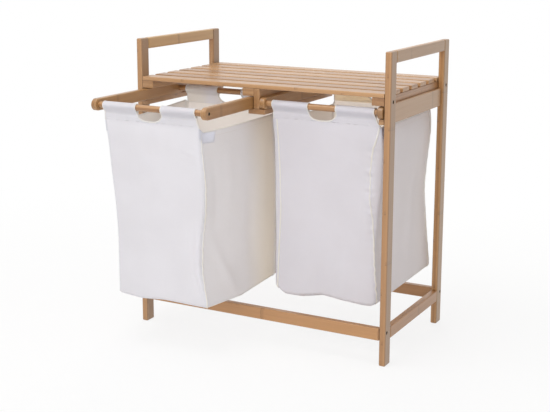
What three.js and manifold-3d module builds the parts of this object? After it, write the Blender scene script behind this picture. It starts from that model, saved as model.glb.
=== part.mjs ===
// Laundry hamper with two pull-out bins: a bamboo frame with a slatted shelf, and under the shelf
// two carriers, each a pair of bars and a pair of dowels with a cotton bag hung on the dowels.
// Millimetres, +Z up. X runs left to right, Y front to back. The carriers slide along Y.

import * as THREE from 'three';
import { mergeVertices } from 'three/addons/utils/BufferGeometryUtils.js';
import { RoundedBoxGeometry } from 'three/addons/geometries/RoundedBoxGeometry.js';
import Module from 'manifold-3d';

const wasm = await Module();
wasm.setup();

// Overall frame
const frameWidth = 680;
const frameDepth = 370;
const frameHeight = 730;

// Clearances
const seatGap = 0.3; // between faces that touch
const cutOverrun = 1; // how far a cut runs past the face that it opens

// Posts and handles
const postWidth = 16;
const postDepth = 31;
const postEase = 3; // rounding of the edges
const handleHeight = 27;

// Side rails
const lowerSideRailHeight = 28;
const upperSideRailHeight = 44;
const upperSideRailThickness = 9;
const railEase = 2;
const tenonLength = 10;
const tenonShoulder = 2; // step from the rail's side faces in to the tenon
const tenonEndShoulder = 6; // step from the rail's top and bottom in to the tenon
const mortiseGap = 0.3;

// Long rails near the floor
const lowerRailBase = 61; // underside of the four lower rails above the floor
const longRailHeight = 29;
const longRailThickness = 17;

// Shelf
const shelfDrop = 93; // from the tops of the posts down to the slats
const slatCount = 7;
const slatWidth = 40;
const slatThickness = 10;
const slatEase = 1.5;
const battenWidth = 30;
const battenHeight = 18;

// Guides that the carriers run on
const guideWebThickness = 15.4;
const guideFlangeWidth = 44;
const runnerThickness = 12; // of the centre flange and of the side ledges
const ledgeWidth = 12;
const guideEase = 1;

// Frame screws, with a hexagon socket
const screwHeadRadius = 4.5;
const screwHeadHeight = 5;
const screwShankRadius = 2.5;
const screwShankLength = 34;
const screwSink = 0.7; // depth of the head's face below the wood
const screwGap = 0.3;
const socketRadius = 2.3;
const socketDepth = 3;
const shelfScrewInset = 15; // from the frame's front or back face
const railScrewRise = 20; // from the underside of the long rail

// Carriers
const barThickness = 13.5;
const barHeight = 28;
const barHeadroom = 1.7; // between the bars and the battens above them
const barEase = 1.5;
const barProud = 6; // how far a pushed-in bar stands out in front of the posts
const barSideGap = 2; // between a bar and the post or web beside it
const dowelRadius = 7.5;
const dowelSetback = 17; // from the end of the bar to the dowel's axis
const dowelSocketDepth = 5;
const dowelGap = 0.3;
const leftPullOut = 206; // how far the left carrier stands open

// Screws through the bars into the dowels
const pinHeadRadius = 4;
const pinHeadHeight = 3.2;
const pinShankRadius = 2;
const pinShankLength = 30;

// Bags
const clothThickness = 2;
const bagSideGap = 11.65; // between a sleeve's end and the bar beside it
const sleeveGap = 0.3; // between a dowel and the sleeve round it
const sleeveDrop = 35; // from the dowel's axis to the sleeve's lower seam
const sleeveSeamThickness = 3;
const handCutWidth = 69;
const handCutDrop = 28; // from the dowel's axis
const sideHemDrop = 47; // from the dowel's axis to the top of the side panels
const hemReturn = 12; // width of side panel left standing beside the front and back
const bagSeamHeight = 128; // bottom seam, above the floor
const bagSag = 10; // how far the middle of the bottom hangs below its seam
const bagCornerRadius = 10;
const bagFloorRadius = 12;
const sleeveInset = 3; // from the line of a side seam in to the sleeve's end
const leftFrontShift = -3.5; // how far each sleeve lies right of the middle of its dowel
const leftBackShift = 7;
const rightFrontShift = 3;
const rightBackShift = 2;

// Faces of a round, by size
const screwSides = 12;
const socketSides = 6;
const dowelSides = 24;
const sleeveSteps = 12;
const barEndSteps = 8;
const barEaseSteps = 1;
const edgeSteps = 1;
const postEdgeSteps = 2;
const cornerSteps = 4;

// Heights that follow from the sizes above
const shelfTop = frameHeight - shelfDrop;
const slatBase = shelfTop - slatThickness;
const battenTop = slatBase - seatGap;
const battenBase = battenTop - battenHeight;
const barTop = battenBase - barHeadroom;
const barBase = barTop - barHeight;
const dowelHeight = barBase + barHeight / 2;
const runnerTop = barBase - seatGap;
const runnerBase = runnerTop - runnerThickness;
const bagDrop = dowelHeight - bagSeamHeight;

// Places that follow from the sizes above
const postInnerX = frameWidth / 2 - postWidth;
const postInnerY = frameDepth / 2 - postDepth;
const webHalf = guideWebThickness / 2;
const bayWidth = postInnerX - webHalf;
const bayCentreX = webHalf + bayWidth / 2;
const carrierHalf = bayWidth / 2 - barSideGap;
const barInnerX = carrierHalf - barThickness;
const bagWidth = 2 * (barInnerX - bagSideGap);
const barLength = frameDepth + barProud;
const dowelSpacing = barLength - 2 * dowelSetback;
const screwHeadSeat = screwSink + screwHeadHeight;

const bamboo = { color: 0xc49a72, roughness: 0.55, metalness: 0 };
const slatBamboo = { color: 0xdcc0a4, roughness: 0.5, metalness: 0 };
const cotton = { color: 0xe2e1e4, roughness: 0.9, metalness: 0 };
const blackSteel = { color: 0x2b2624, roughness: 0.45, metalness: 0.8 };

// Helpers: three.js shapes to solids and back

function toSolid(geometry) {
  geometry.deleteAttribute('normal');
  geometry.deleteAttribute('uv');
  const merged = mergeVertices(geometry);
  const mesh = new wasm.Mesh({
    numProp: 3,
    vertProperties: new Float32Array(merged.attributes.position.array),
    triVerts: new Uint32Array(merged.index.array),
  });
  return new wasm.Manifold(mesh);
}

function toGeometry(solid) {
  const mesh = solid.getMesh();
  const geometry = new THREE.BufferGeometry();
  geometry.setAttribute('position', new THREE.BufferAttribute(mesh.vertProperties, 3));
  geometry.setIndex(new THREE.BufferAttribute(mesh.triVerts, 1));
  geometry.computeVertexNormals();
  return geometry;
}

// A straight piece of wood between two opposite corners, with its edges eased.
function board(low, high, ease, steps = edgeSteps) {
  const size = high.map((value, axis) => value - low[axis]);
  const geometry = new RoundedBoxGeometry(...size, steps, ease);
  geometry.translate(...high.map((value, axis) => (value + low[axis]) / 2));
  return toSolid(geometry);
}

// A sharp-edged block between two opposite corners, for cuts and tenons.
function block(low, high) {
  const size = high.map((value, axis) => value - low[axis]);
  const geometry = new THREE.BoxGeometry(...size);
  geometry.translate(...high.map((value, axis) => (value + low[axis]) / 2));
  return toSolid(geometry);
}

// A round bar along X from one place to another.
function roundAlongX(radius, fromX, toX, y, z, sides) {
  const geometry = new THREE.CylinderGeometry(radius, radius, Math.abs(toX - fromX), sides);
  geometry.rotateZ(Math.PI / 2);
  geometry.translate((fromX + toX) / 2, y, z);
  return toSolid(geometry);
}

// An outline in Y and Z, carried along X from one place to another.
function extrudeAlongX(outline, fromX, toX) {
  const geometry = new THREE.ExtrudeGeometry(outline, {
    depth: toX - fromX,
    bevelEnabled: false,
    curveSegments: sleeveSteps,
  });
  geometry.rotateX(Math.PI / 2);
  geometry.rotateZ(Math.PI / 2);
  geometry.translate(fromX, 0, 0);
  return toSolid(geometry);
}

// An outline in X and Z, carried along Y from one place to another.
function extrudeAlongY(outline, fromY, toY) {
  const geometry = new THREE.ExtrudeGeometry(outline, {
    depth: toY - fromY,
    bevelEnabled: false,
    curveSegments: sleeveSteps,
  });
  geometry.rotateX(Math.PI / 2);
  geometry.translate(0, toY, 0);
  return toSolid(geometry);
}

function addPiece(parent, name, solid, finish, position = [0, 0, 0]) {
  const mesh = new THREE.Mesh(toGeometry(solid), new THREE.MeshStandardMaterial(finish));
  mesh.name = name;
  mesh.position.set(...position);
  parent.add(mesh);
  return mesh;
}

const sides = [
  { name: 'left', sign: -1 },
  { name: 'right', sign: 1 },
];
const ends = [
  { name: 'front', sign: -1 },
  { name: 'back', sign: 1 },
];

// Screws: a round head with a hexagon socket and a shank, pointing along X

function screwSolid(headRadius, headHeight, shankRadius, shankLength, toward) {
  const profile = [
    new THREE.Vector2(0, 0),
    new THREE.Vector2(headRadius, 0),
    new THREE.Vector2(headRadius, headHeight),
    new THREE.Vector2(shankRadius, headHeight),
    new THREE.Vector2(shankRadius, headHeight + shankLength - shankRadius),
    new THREE.Vector2(0, headHeight + shankLength),
  ];
  const body = new THREE.LatheGeometry(profile, screwSides);
  const reach = socketDepth * (headHeight / screwHeadHeight);
  const width = socketRadius * (headRadius / screwHeadRadius);
  const socket = new THREE.CylinderGeometry(width, width, reach + cutOverrun, socketSides);
  socket.translate(0, (reach - cutOverrun) / 2, 0);
  const turn = (-toward * Math.PI) / 2;
  body.rotateZ(turn);
  socket.rotateZ(turn);
  return toSolid(body).subtract(toSolid(socket));
}

// The hole for a screw: a wide part for the head and a narrow one for the shank.
function screwHole(headRadius, headSeat, shankRadius, shankLength, faceX, y, z, toward) {
  const seatX = faceX + toward * (headSeat + screwGap);
  const tipX = faceX + toward * (headSeat + shankLength + screwGap);
  const mouthX = faceX - toward * cutOverrun;
  const wide = roundAlongX(headRadius + screwGap, mouthX, seatX, y, z, screwSides);
  const narrow = roundAlongX(shankRadius + screwGap, mouthX, tipX, y, z, screwSides);
  return wide.add(narrow);
}

// Where the frame screws go through the posts: into the battens and into the long rails.
const frameScrewPlaces = [
  { piece: 'shelf', inset: shelfScrewInset, height: (battenTop + battenBase) / 2 },
  { piece: 'rail', inset: longRailThickness / 2, height: lowerRailBase + railScrewRise },
];

function frameScrewHole(place, side, end) {
  const y = end.sign * (frameDepth / 2 - place.inset);
  const faceX = (side.sign * frameWidth) / 2;
  return screwHole(screwHeadRadius, screwHeadSeat, screwShankRadius, screwShankLength,
    faceX, y, place.height, -side.sign);
}

// Side frames: rails with tenons, glued into mortises in the posts

// Every rail between a front and a back post, by its faces in X and Z on the right side.
const sideRails = [
  {
    name: 'handle',
    inner: postInnerX,
    outer: frameWidth / 2,
    base: frameHeight - handleHeight,
    top: frameHeight,
    ease: postEase,
  },
  {
    name: 'upper_side_rail',
    inner: postInnerX,
    outer: postInnerX + upperSideRailThickness,
    base: runnerBase,
    top: runnerBase + upperSideRailHeight,
    ease: railEase,
  },
  {
    name: 'lower_side_rail',
    inner: postInnerX,
    outer: frameWidth / 2,
    base: lowerRailBase,
    top: lowerRailBase + lowerSideRailHeight,
    ease: railEase,
  },
];

function spanX(side, inner, outer) {
  return side.sign > 0 ? [inner, outer] : [-outer, -inner];
}

// The tenon's box, grown all round by a gap when it cuts the mortise.
function tenonBlock(rail, side, gap) {
  const [lowX, highX] = spanX(side, rail.inner + tenonShoulder, rail.outer - tenonShoulder);
  const reach = postInnerY + tenonLength + gap;
  return block(
    [lowX - gap, -reach, rail.base + tenonEndShoulder - gap],
    [highX + gap, reach, rail.top - tenonEndShoulder + gap],
  );
}

function sideRail(rail, side) {
  const [lowX, highX] = spanX(side, rail.inner, rail.outer);
  const reach = postInnerY - seatGap;
  const body = board([lowX, -reach, rail.base], [highX, reach, rail.top], rail.ease);
  return body.add(tenonBlock(rail, side, 0));
}

function post(side, end) {
  const [lowX, highX] = spanX(side, postInnerX, frameWidth / 2);
  const [lowY, highY] = end.sign > 0 ? [postInnerY, frameDepth / 2] : [-frameDepth / 2, -postInnerY];
  let solid = board([lowX, lowY, 0], [highX, highY, frameHeight], postEase, postEdgeSteps);
  for (const rail of sideRails) {
    solid = solid.subtract(tenonBlock(rail, side, mortiseGap));
  }
  for (const place of frameScrewPlaces) {
    solid = solid.subtract(frameScrewHole(place, side, end));
  }
  return solid;
}

// Long rails: front and back, screwed between the side frames near the floor

function longRail(end) {
  const reach = postInnerX - seatGap;
  const outerY = (end.sign * frameDepth) / 2;
  const innerY = outerY - end.sign * longRailThickness;
  let solid = board(
    [-reach, Math.min(outerY, innerY), lowerRailBase],
    [reach, Math.max(outerY, innerY), lowerRailBase + longRailHeight],
    railEase,
  );
  for (const side of sides) {
    solid = solid.subtract(frameScrewHole(frameScrewPlaces[1], side, end));
  }
  return solid;
}

// Shelf: slats across three battens, all between the posts

const slatPitch = (frameDepth - slatWidth) / (slatCount - 1);

function slat() {
  const reach = postInnerX - seatGap;
  return board([-reach, -slatWidth / 2, slatBase], [reach, slatWidth / 2, shelfTop], slatEase);
}

function sideBatten(side) {
  const outer = postInnerX - seatGap;
  const [lowX, highX] = spanX(side, outer - battenWidth, outer);
  let solid = board(
    [lowX, -frameDepth / 2, battenBase],
    [highX, frameDepth / 2, battenTop],
    guideEase,
  );
  for (const end of ends) {
    solid = solid.subtract(frameScrewHole(frameScrewPlaces[0], side, end));
  }
  return solid;
}

function centreBatten() {
  const highX = -webHalf - seatGap;
  return board(
    [highX - battenWidth, -frameDepth / 2, battenBase],
    [highX, frameDepth / 2, battenTop],
    guideEase,
  );
}

// Guides: a web and flange under the middle of the shelf, and a ledge along each side

function guideWeb() {
  return board(
    [-webHalf, -frameDepth / 2, runnerTop + seatGap],
    [webHalf, frameDepth / 2, battenTop],
    guideEase,
  );
}

function guideFlange() {
  return board(
    [-guideFlangeWidth / 2, -frameDepth / 2, runnerBase],
    [guideFlangeWidth / 2, frameDepth / 2, runnerTop],
    guideEase,
  );
}

function sideLedge(side) {
  const outer = postInnerX - seatGap;
  const [lowX, highX] = spanX(side, outer - ledgeWidth, outer);
  return board([lowX, -frameDepth / 2, runnerBase], [highX, frameDepth / 2, runnerTop], guideEase);
}

// Carrier bar: a flat bar on edge with full-round ends, bored for the dowels and their screws.
// A carrier's own origin is the middle of its four dowel ends.

function carrierBar(side) {
  const radius = barHeight / 2 - barEase;
  const reach = barLength / 2 - barHeight / 2;
  const outline = new THREE.Shape();
  outline.absarc(reach, 0, radius, -Math.PI / 2, Math.PI / 2);
  outline.absarc(-reach, 0, radius, Math.PI / 2, (3 * Math.PI) / 2);
  const geometry = new THREE.ExtrudeGeometry(outline, {
    depth: barThickness - 2 * barEase,
    curveSegments: barEndSteps,
    bevelThickness: barEase,
    bevelSize: barEase,
    bevelSegments: barEaseSteps,
  });
  geometry.rotateX(Math.PI / 2);
  geometry.rotateZ(Math.PI / 2);
  const [lowX] = spanX(side, barInnerX, carrierHalf);
  geometry.translate(lowX + barEase, 0, 0);
  let solid = toSolid(geometry);
  for (const end of ends) {
    const y = (end.sign * dowelSpacing) / 2;
    const innerX = side.sign * barInnerX;
    const socketX = innerX + side.sign * (dowelSocketDepth + dowelGap);
    const mouthX = innerX - side.sign * cutOverrun;
    solid = solid.subtract(roundAlongX(dowelRadius + dowelGap, mouthX, socketX, y, 0, dowelSides));
    solid = solid.subtract(pinHole(side, y));
  }
  return solid;
}

function pinHole(side, y) {
  return screwHole(pinHeadRadius, screwSink + pinHeadHeight, pinShankRadius, pinShankLength,
    side.sign * carrierHalf, y, 0, -side.sign);
}

function dowel(end) {
  const reach = barInnerX + dowelSocketDepth;
  const y = (end.sign * dowelSpacing) / 2;
  let solid = roundAlongX(dowelRadius, -reach, reach, y, 0, dowelSides);
  for (const side of sides) {
    solid = solid.subtract(pinHole(side, y));
  }
  return solid;
}

// Bag: a lofted cloth shell, open at the top, with a sleeve on each dowel and a hand cut in each

// Levels from the top of the panels down to the bottom seam, as shares of the drop between them.
const levelShares = [0, 0.12, 0.3, 0.5, 0.75, 1];
// Rings of the bottom: how far each lies from the middle and how far it has sagged.
const floorRingShares = [0.78, 0.4];
const floorSagShares = [0.62, 0.93];

// How each bag hangs. Its corners go back right, back left, front left, front right. At each level
// a corner lies at a share of half the bag's width and of half the way between the dowels, and its
// seam reaches down to a share of the bag's drop.
const bagForms = {
  left: {
    shifts: { front: leftFrontShift, back: leftBackShift },
    widthShares: [
      [1.02, 1.06, 1.1, 1.13, 1.13, 1.1],
      [-0.9, -0.94, -0.98, -0.97, -0.97, -0.98],
      [-0.97, -0.98, -0.98, -0.97, -0.97, -0.98],
      [0.98, 0.95, 0.98, 0.9, 0.78, 0.94],
    ],
    depthShares: [
      [1, 1, 0.98, 0.98, 0.97, 0.97],
      [1, 0.99, 0.96, 0.94, 0.94, 0.95],
      [-1, -0.96, -0.9, -0.84, -0.8, -0.78],
      [-1, -0.95, -0.9, -0.86, -0.82, -0.79],
    ],
    dropShares: [0.985, 0.985, 1, 1],
  },
  right: {
    shifts: { front: rightFrontShift, back: rightBackShift },
    widthShares: [
      [1, 1.04, 1.03, 1.02, 1.04, 1.08],
      [-1, -1, -0.99, -0.98, -0.97, -0.98],
      [-0.96, -0.97, -0.98, -0.99, -0.99, -1.01],
      [1, 1.13, 1.12, 1.01, 0.96, 1],
    ],
    depthShares: [
      [1.02, 1.07, 0.97, 0.9, 1.01, 1.09],
      [1, 1.02, 0.98, 0.94, 0.98, 1],
      [-1, -0.98, -0.94, -0.91, -0.89, -0.87],
      [-1, -0.98, -0.93, -0.87, -0.84, -0.82],
    ],
    dropShares: [0.96, 0.995, 1, 0.99],
  },
};

const panelTop = -(sleeveDrop - sleeveSeamThickness);
const cornerSigns = [[1, 1], [-1, 1], [-1, -1], [1, -1]];

// The outline of one skin of the bag at a level, as a ring of points: four corners, each a quarter
// turn, drawn in by an inset.
function bagRing(form, level, inset) {
  const points = [];
  const turn = bagCornerRadius - inset;
  cornerSigns.forEach(([signX, signY], corner) => {
    const x = (form.widthShares[corner][level] * bagWidth) / 2 - signX * bagCornerRadius;
    const y = (form.depthShares[corner][level] * dowelSpacing) / 2
      + signY * (clothThickness / 2 - bagCornerRadius);
    const reach = bagDrop * form.dropShares[corner] + panelTop - bagFloorRadius;
    const z = panelTop - reach * levelShares[level];
    for (let step = 0; step <= cornerSteps; step += 1) {
      const angle = (corner + step / cornerSteps) * (Math.PI / 2);
      points.push([x + turn * Math.cos(angle), y + turn * Math.sin(angle), z]);
    }
  });
  return points;
}

// All rings of one skin of the bag, from the rim down to the middle of the bottom.
function bagSkin(form, inset) {
  const rings = levelShares.map((share, level) => bagRing(form, level, inset));
  const last = rings[rings.length - 1];
  const pullIn = bagFloorRadius - inset;
  const seam = last.map(([x, y, z]) => [
    x - Math.sign(x) * pullIn / 2,
    y - Math.sign(y) * pullIn / 2,
    z - pullIn,
  ]);
  rings.push(seam);
  const middleZ = -bagDrop + inset - bagSag;
  floorRingShares.forEach((share, ring) => {
    const sagged = floorSagShares[ring];
    rings.push(seam.map(([x, y, z]) => [x * share, y * share, z + (middleZ - z) * sagged]));
  });
  return { rings, middle: [0, 0, middleZ] };
}

function bagShell(form) {
  const outer = bagSkin(form, 0);
  const inner = bagSkin(form, clothThickness);
  const ringSize = outer.rings[0].length;
  const ringCount = outer.rings.length;
  const points = [...outer.rings.flat(), outer.middle, ...inner.rings.flat(), inner.middle];
  const innerStart = ringCount * ringSize + 1;
  const triangles = [];
  const quad = (a, b, c, d) => triangles.push(a, b, c, a, c, d);
  for (let i = 0; i < ringSize; i += 1) {
    const j = (i + 1) % ringSize;
    for (let ring = 0; ring + 1 < ringCount; ring += 1) {
      const above = ring * ringSize;
      const below = above + ringSize;
      quad(below + i, below + j, above + j, above + i);
      quad(innerStart + above + i, innerStart + above + j, innerStart + below + j,
        innerStart + below + i);
    }
    const last = (ringCount - 1) * ringSize;
    triangles.push(last + j, last + i, ringCount * ringSize);
    triangles.push(innerStart + last + i, innerStart + last + j, innerStart + ringCount * ringSize);
    quad(i, j, innerStart + j, innerStart + i);
  }
  const geometry = new THREE.BufferGeometry();
  geometry.setAttribute('position', new THREE.Float32BufferAttribute(points.flat(), 3));
  geometry.setIndex(triangles);
  return toSolid(geometry);
}

// The sleeve's outline: round over the dowel, with straight flanks down to the seam.
function sleeveOutline(y) {
  const radius = dowelRadius + sleeveGap + clothThickness;
  const seamHalf = sleeveSeamThickness / 2;
  const reach = Math.hypot(seamHalf, sleeveDrop);
  const flank = Math.acos(radius / reach) - Math.atan2(sleeveDrop, seamHalf);
  const outline = new THREE.Shape();
  outline.moveTo(y + seamHalf, -sleeveDrop);
  outline.absarc(y, 0, radius, flank, Math.PI - flank);
  outline.lineTo(y - seamHalf, -sleeveDrop);
  return outline;
}

function handCutOutline(x) {
  const half = handCutWidth / 2;
  const top = dowelRadius + sleeveGap + clothThickness + cutOverrun;
  const outline = new THREE.Shape();
  outline.moveTo(x - half, top);
  outline.absellipse(x, 0, half, handCutDrop, Math.PI, 2 * Math.PI);
  outline.lineTo(x + half, top);
  return outline;
}

function bag(form) {
  let solid = bagShell(form);
  const boreRadius = dowelRadius + sleeveGap;
  const overX = bayWidth / 2;
  const sleeveReach = boreRadius + clothThickness + cutOverrun;
  const sleeveHalf = bagWidth / 2 - sleeveInset;
  for (const end of ends) {
    const y = (end.sign * dowelSpacing) / 2;
    const shift = form.shifts[end.name];
    solid = solid.add(extrudeAlongX(sleeveOutline(y), shift - sleeveHalf, shift + sleeveHalf));
  }
  for (const end of ends) {
    const y = (end.sign * dowelSpacing) / 2;
    solid = solid.subtract(roundAlongX(boreRadius, -overX, overX, y, 0, dowelSides));
    const cut = handCutOutline(form.shifts[end.name]);
    solid = solid.subtract(extrudeAlongY(cut, y - sleeveReach, y + sleeveReach));
  }
  const hemY = dowelSpacing / 2 - hemReturn;
  const sideCut = block([-overX, -hemY, -sideHemDrop], [overX, hemY, panelTop + cutOverrun]);
  return solid.subtract(sideCut);
}

// Assembly

const hamper = new THREE.Group();

// The rest position has one carrier open, so the frame stands back from the middle of the whole.
const assembly = new THREE.Group();
assembly.position.y = (barProud + leftPullOut) / 2;
hamper.add(assembly);

function addFrameScrews(side, end) {
  for (const place of frameScrewPlaces) {
    const solid = screwSolid(screwHeadRadius, screwHeadHeight, screwShankRadius,
      screwShankLength, -side.sign);
    const x = side.sign * (frameWidth / 2 - screwSink);
    const y = end.sign * (frameDepth / 2 - place.inset);
    const name = `${end.name}_${side.name}_${place.piece}_screw`;
    addPiece(assembly, name, solid, blackSteel, [x, y, place.height]);
  }
}

for (const side of sides) {
  for (const end of ends) {
    addPiece(assembly, `${end.name}_${side.name}_post`, post(side, end), bamboo);
    addFrameScrews(side, end);
  }
  for (const rail of sideRails) {
    addPiece(assembly, `${side.name}_${rail.name}`, sideRail(rail, side), bamboo);
  }
  addPiece(assembly, `${side.name}_batten`, sideBatten(side), bamboo);
  addPiece(assembly, `${side.name}_ledge`, sideLedge(side), bamboo);
}
for (const end of ends) {
  addPiece(assembly, `${end.name}_long_rail`, longRail(end), bamboo);
}
for (let index = 0; index < slatCount; index += 1) {
  const y = (slatWidth - frameDepth) / 2 + index * slatPitch;
  addPiece(assembly, `slat_${index + 1}`, slat(), slatBamboo, [0, y, 0]);
}
addPiece(assembly, 'centre_batten', centreBatten(), bamboo);
addPiece(assembly, 'guide_web', guideWeb(), bamboo);
addPiece(assembly, 'guide_flange', guideFlange(), bamboo);

// One carrier with its bag; pulled out, it lies further forward by the pull-out.
function addCarrier(name, sign, pullOut, form) {
  const carrier = new THREE.Group();
  carrier.position.set(sign * bayCentreX, -barProud / 2 - pullOut, dowelHeight);
  for (const side of sides) {
    addPiece(carrier, `${name}_carrier_${side.name}_bar`, carrierBar(side), bamboo);
    for (const end of ends) {
      const solid = screwSolid(pinHeadRadius, pinHeadHeight, pinShankRadius, pinShankLength,
        -side.sign);
      const x = side.sign * (carrierHalf - screwSink);
      const y = (end.sign * dowelSpacing) / 2;
      addPiece(carrier, `${name}_carrier_${end.name}_${side.name}_screw`, solid, blackSteel,
        [x, y, 0]);
    }
  }
  for (const end of ends) {
    addPiece(carrier, `${name}_carrier_${end.name}_dowel`, dowel(end), bamboo);
  }
  addPiece(carrier, `${name}_bag`, bag(form), cotton);
  assembly.add(carrier);
}

addCarrier('left', -1, leftPullOut, bagForms.left);
addCarrier('right', 1, 0, bagForms.right);

export default hamper;
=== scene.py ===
import math

import bmesh
import bpy
import numpy as np
from mathutils import Matrix, Vector


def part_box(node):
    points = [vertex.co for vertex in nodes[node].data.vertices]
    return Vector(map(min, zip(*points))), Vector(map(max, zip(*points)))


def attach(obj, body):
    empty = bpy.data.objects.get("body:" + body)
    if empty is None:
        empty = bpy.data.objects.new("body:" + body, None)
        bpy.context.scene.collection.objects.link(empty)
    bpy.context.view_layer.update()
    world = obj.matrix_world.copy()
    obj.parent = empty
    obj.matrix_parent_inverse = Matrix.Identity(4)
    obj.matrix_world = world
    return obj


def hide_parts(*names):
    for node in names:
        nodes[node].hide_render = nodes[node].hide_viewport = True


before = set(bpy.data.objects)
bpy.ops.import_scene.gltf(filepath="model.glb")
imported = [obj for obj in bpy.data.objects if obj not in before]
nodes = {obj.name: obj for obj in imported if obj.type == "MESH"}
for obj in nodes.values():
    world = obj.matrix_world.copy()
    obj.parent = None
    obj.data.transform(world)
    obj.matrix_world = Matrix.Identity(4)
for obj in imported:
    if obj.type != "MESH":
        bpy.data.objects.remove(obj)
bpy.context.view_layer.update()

# View: the camera stands to the right of the middle, at the height of a table, and looks down a
# little. The picture is 550 pixels wide, and the lens is shifted along the upright by some of them.
PICTURE_WIDTH = 550
FOCAL_PIXELS = 1118.2
SHIFT_PIXELS = -38
SENSOR_WIDTH = 36
CAMERA_PLACE = (1.2750, -2.3514, 0.9765)
YAW, PITCH, TILT = 0.4944, 0.2040, 0.0025
camera_data = bpy.data.cameras.new("camera")
camera_data.sensor_width = SENSOR_WIDTH
camera_data.lens = SENSOR_WIDTH * FOCAL_PIXELS / PICTURE_WIDTH
camera_data.shift_y = SHIFT_PIXELS / PICTURE_WIDTH
camera = bpy.data.objects.new("camera", camera_data)
bpy.context.scene.collection.objects.link(camera)
ahead = Vector((-math.sin(YAW) * math.cos(PITCH), math.cos(YAW) * math.cos(PITCH), -math.sin(PITCH)))
level = Vector((math.cos(YAW), math.sin(YAW), 0))
upright = level.cross(ahead)
right = level * math.cos(TILT) + upright * math.sin(TILT)
up = upright * math.cos(TILT) - level * math.sin(TILT)
turn = Matrix((right, up, -ahead)).transposed().to_4x4()
camera.matrix_world = Matrix.Translation(CAMERA_PLACE) @ turn
bpy.context.scene.camera = camera
bpy.context.scene.view_settings.view_transform = "Standard"

# Studio: a white floor that keeps a faint shadow, a white surround, and four soft lamps. The two at
# the front are as high as light can pass in over the bags, under the shelf. The floor's shine hides the
# share FLOOR_SHINE of the shadow under the hamper, and all of it from SHINE_FAR on.
FLOOR_REACH = 40
FLOOR_SHINE, SHINE_NEAR, SHINE_FAR = 0.80, 0.5, 1.9
SURROUND_LIGHT = 0.60
MIDDLE = (0, 0, 0.4)


def new_material(name):
    """A node material, its node tree and its principled shader."""
    material = bpy.data.materials.new(name)
    material.use_nodes = True
    tree = material.node_tree
    return material, tree, tree.nodes["Principled BSDF"]


def fill(tree, node, **values):
    """Fills inputs of a node, each given by its name, or by i and its number. A value that is a socket
    is linked, and any other value is set on the input itself."""
    for key, value in values.items():
        numbered = key[0] == "i" and key[1:].isdigit()
        socket = node.inputs[int(key[1:]) if numbered else key.replace("_", " ")]
        if isinstance(value, bpy.types.NodeSocket):
            tree.links.new(value, socket)
        else:
            socket.default_value = value


def put(tree, kind, settings=None, **values):
    """Adds a node, with its settings and the values of its inputs."""
    made = tree.nodes.new("ShaderNode" + kind)
    for key, value in (settings or {}).items():
        setattr(made, key, value)
    fill(tree, made, **values)
    return made


def calc(tree, operation, a, b=0.0, c=0.0):
    """One step of arithmetic on numbers or sockets."""
    return put(tree, "Math", {"operation": operation}, i0=a, i1=b, i2=c).outputs[0]


def times(tree, a, b):
    """The product of two numbers or sockets."""
    return calc(tree, "MULTIPLY", a, b)


def spread(tree, value, low, high, to_low=0.0, to_high=1.0):
    """A value between low and high moved to between to_low and to_high, with soft ends."""
    made = put(tree, "MapRange", {"interpolation_type": "SMOOTHSTEP"},
               i0=value, i1=low, i2=high, i3=to_low, i4=to_high)
    return made.outputs[0]


def seen_directly(tree):
    """One for a ray from the camera, straight or by way of a mirror or a clear pane, and else zero."""
    rays = put(tree, "LightPath").outputs
    bent = calc(tree, "MAXIMUM", rays["Is Glossy Ray"], rays["Is Transmission Ray"])
    return calc(tree, "MAXIMUM", rays["Is Camera Ray"], bent)


floor_mesh = bpy.data.meshes.new("floor")
floor_corners = [(x * FLOOR_REACH, y * FLOOR_REACH, 0) for x, y in ((-1, -1), (1, -1), (1, 1), (-1, 1))]
floor_mesh.from_pydata(floor_corners, [], [(0, 1, 2, 3)])
floor = bpy.data.objects.new("floor", floor_mesh)
bpy.context.scene.collection.objects.link(floor)
floor_material, tree, shader = new_material("floor_white")
fill(tree, shader, Base_Color=(0.86, 0.86, 0.86, 1), Roughness=0.9, Specular_IOR_Level=0.1)
shine = put(tree, "Emission", Color=(1, 1, 1, 1), Strength=1.0)
place = put(tree, "TexCoord").outputs["Object"]
from_middle = put(tree, "VectorMath", {"operation": "LENGTH"}, i0=place).outputs["Value"]
share = times(tree, seen_directly(tree), spread(tree, from_middle, SHINE_NEAR, SHINE_FAR, FLOOR_SHINE, 1.0))
veil = put(tree, "MixShader", i0=share, i1=shader.outputs[0], i2=shine.outputs[0])
fill(tree, tree.nodes["Material Output"], Surface=veil.outputs[0])
floor_mesh.materials.append(floor_material)

world = bpy.data.worlds.new("surround")
world.use_nodes = True
tree = world.node_tree
strength = spread(tree, seen_directly(tree), 0, 1, SURROUND_LIGHT, 1.0)
fill(tree, tree.nodes["Background"], Color=(1, 1, 1, 1), Strength=strength)
bpy.context.scene.world = world


def lamp(name, place, size, power, colour, mirrored=False):
    """A square soft lamp at a place, turned to face the hamper's middle. Lacquer mirrors it or not."""
    data = bpy.data.lights.new(name, "AREA")
    data.size, data.energy, data.color = size, power, colour
    made = bpy.data.objects.new(name, data)
    towards = Vector(MIDDLE) - Vector(place)
    made.matrix_world = Matrix.Translation(place) @ towards.to_track_quat("-Z", "Y").to_matrix().to_4x4()
    made.visible_camera, made.visible_glossy = False, mirrored
    bpy.context.scene.collection.objects.link(made)


lamp("front", (0.0, -4.2, 1.28), 1.2, 34, (0.96, 0.97, 1.0))
lamp("front_right", (2.6, -3.2, 1.20), 1.2, 30, (1.0, 0.97, 0.95))
lamp("top", (-0.4, -0.8, 2.6), 1.4, 24, (1.0, 0.99, 0.97), mirrored=True)
lamp("back", (-0.9, 2.8, 0.8), 1.6, 48, (1.0, 0.96, 0.90))

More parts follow.
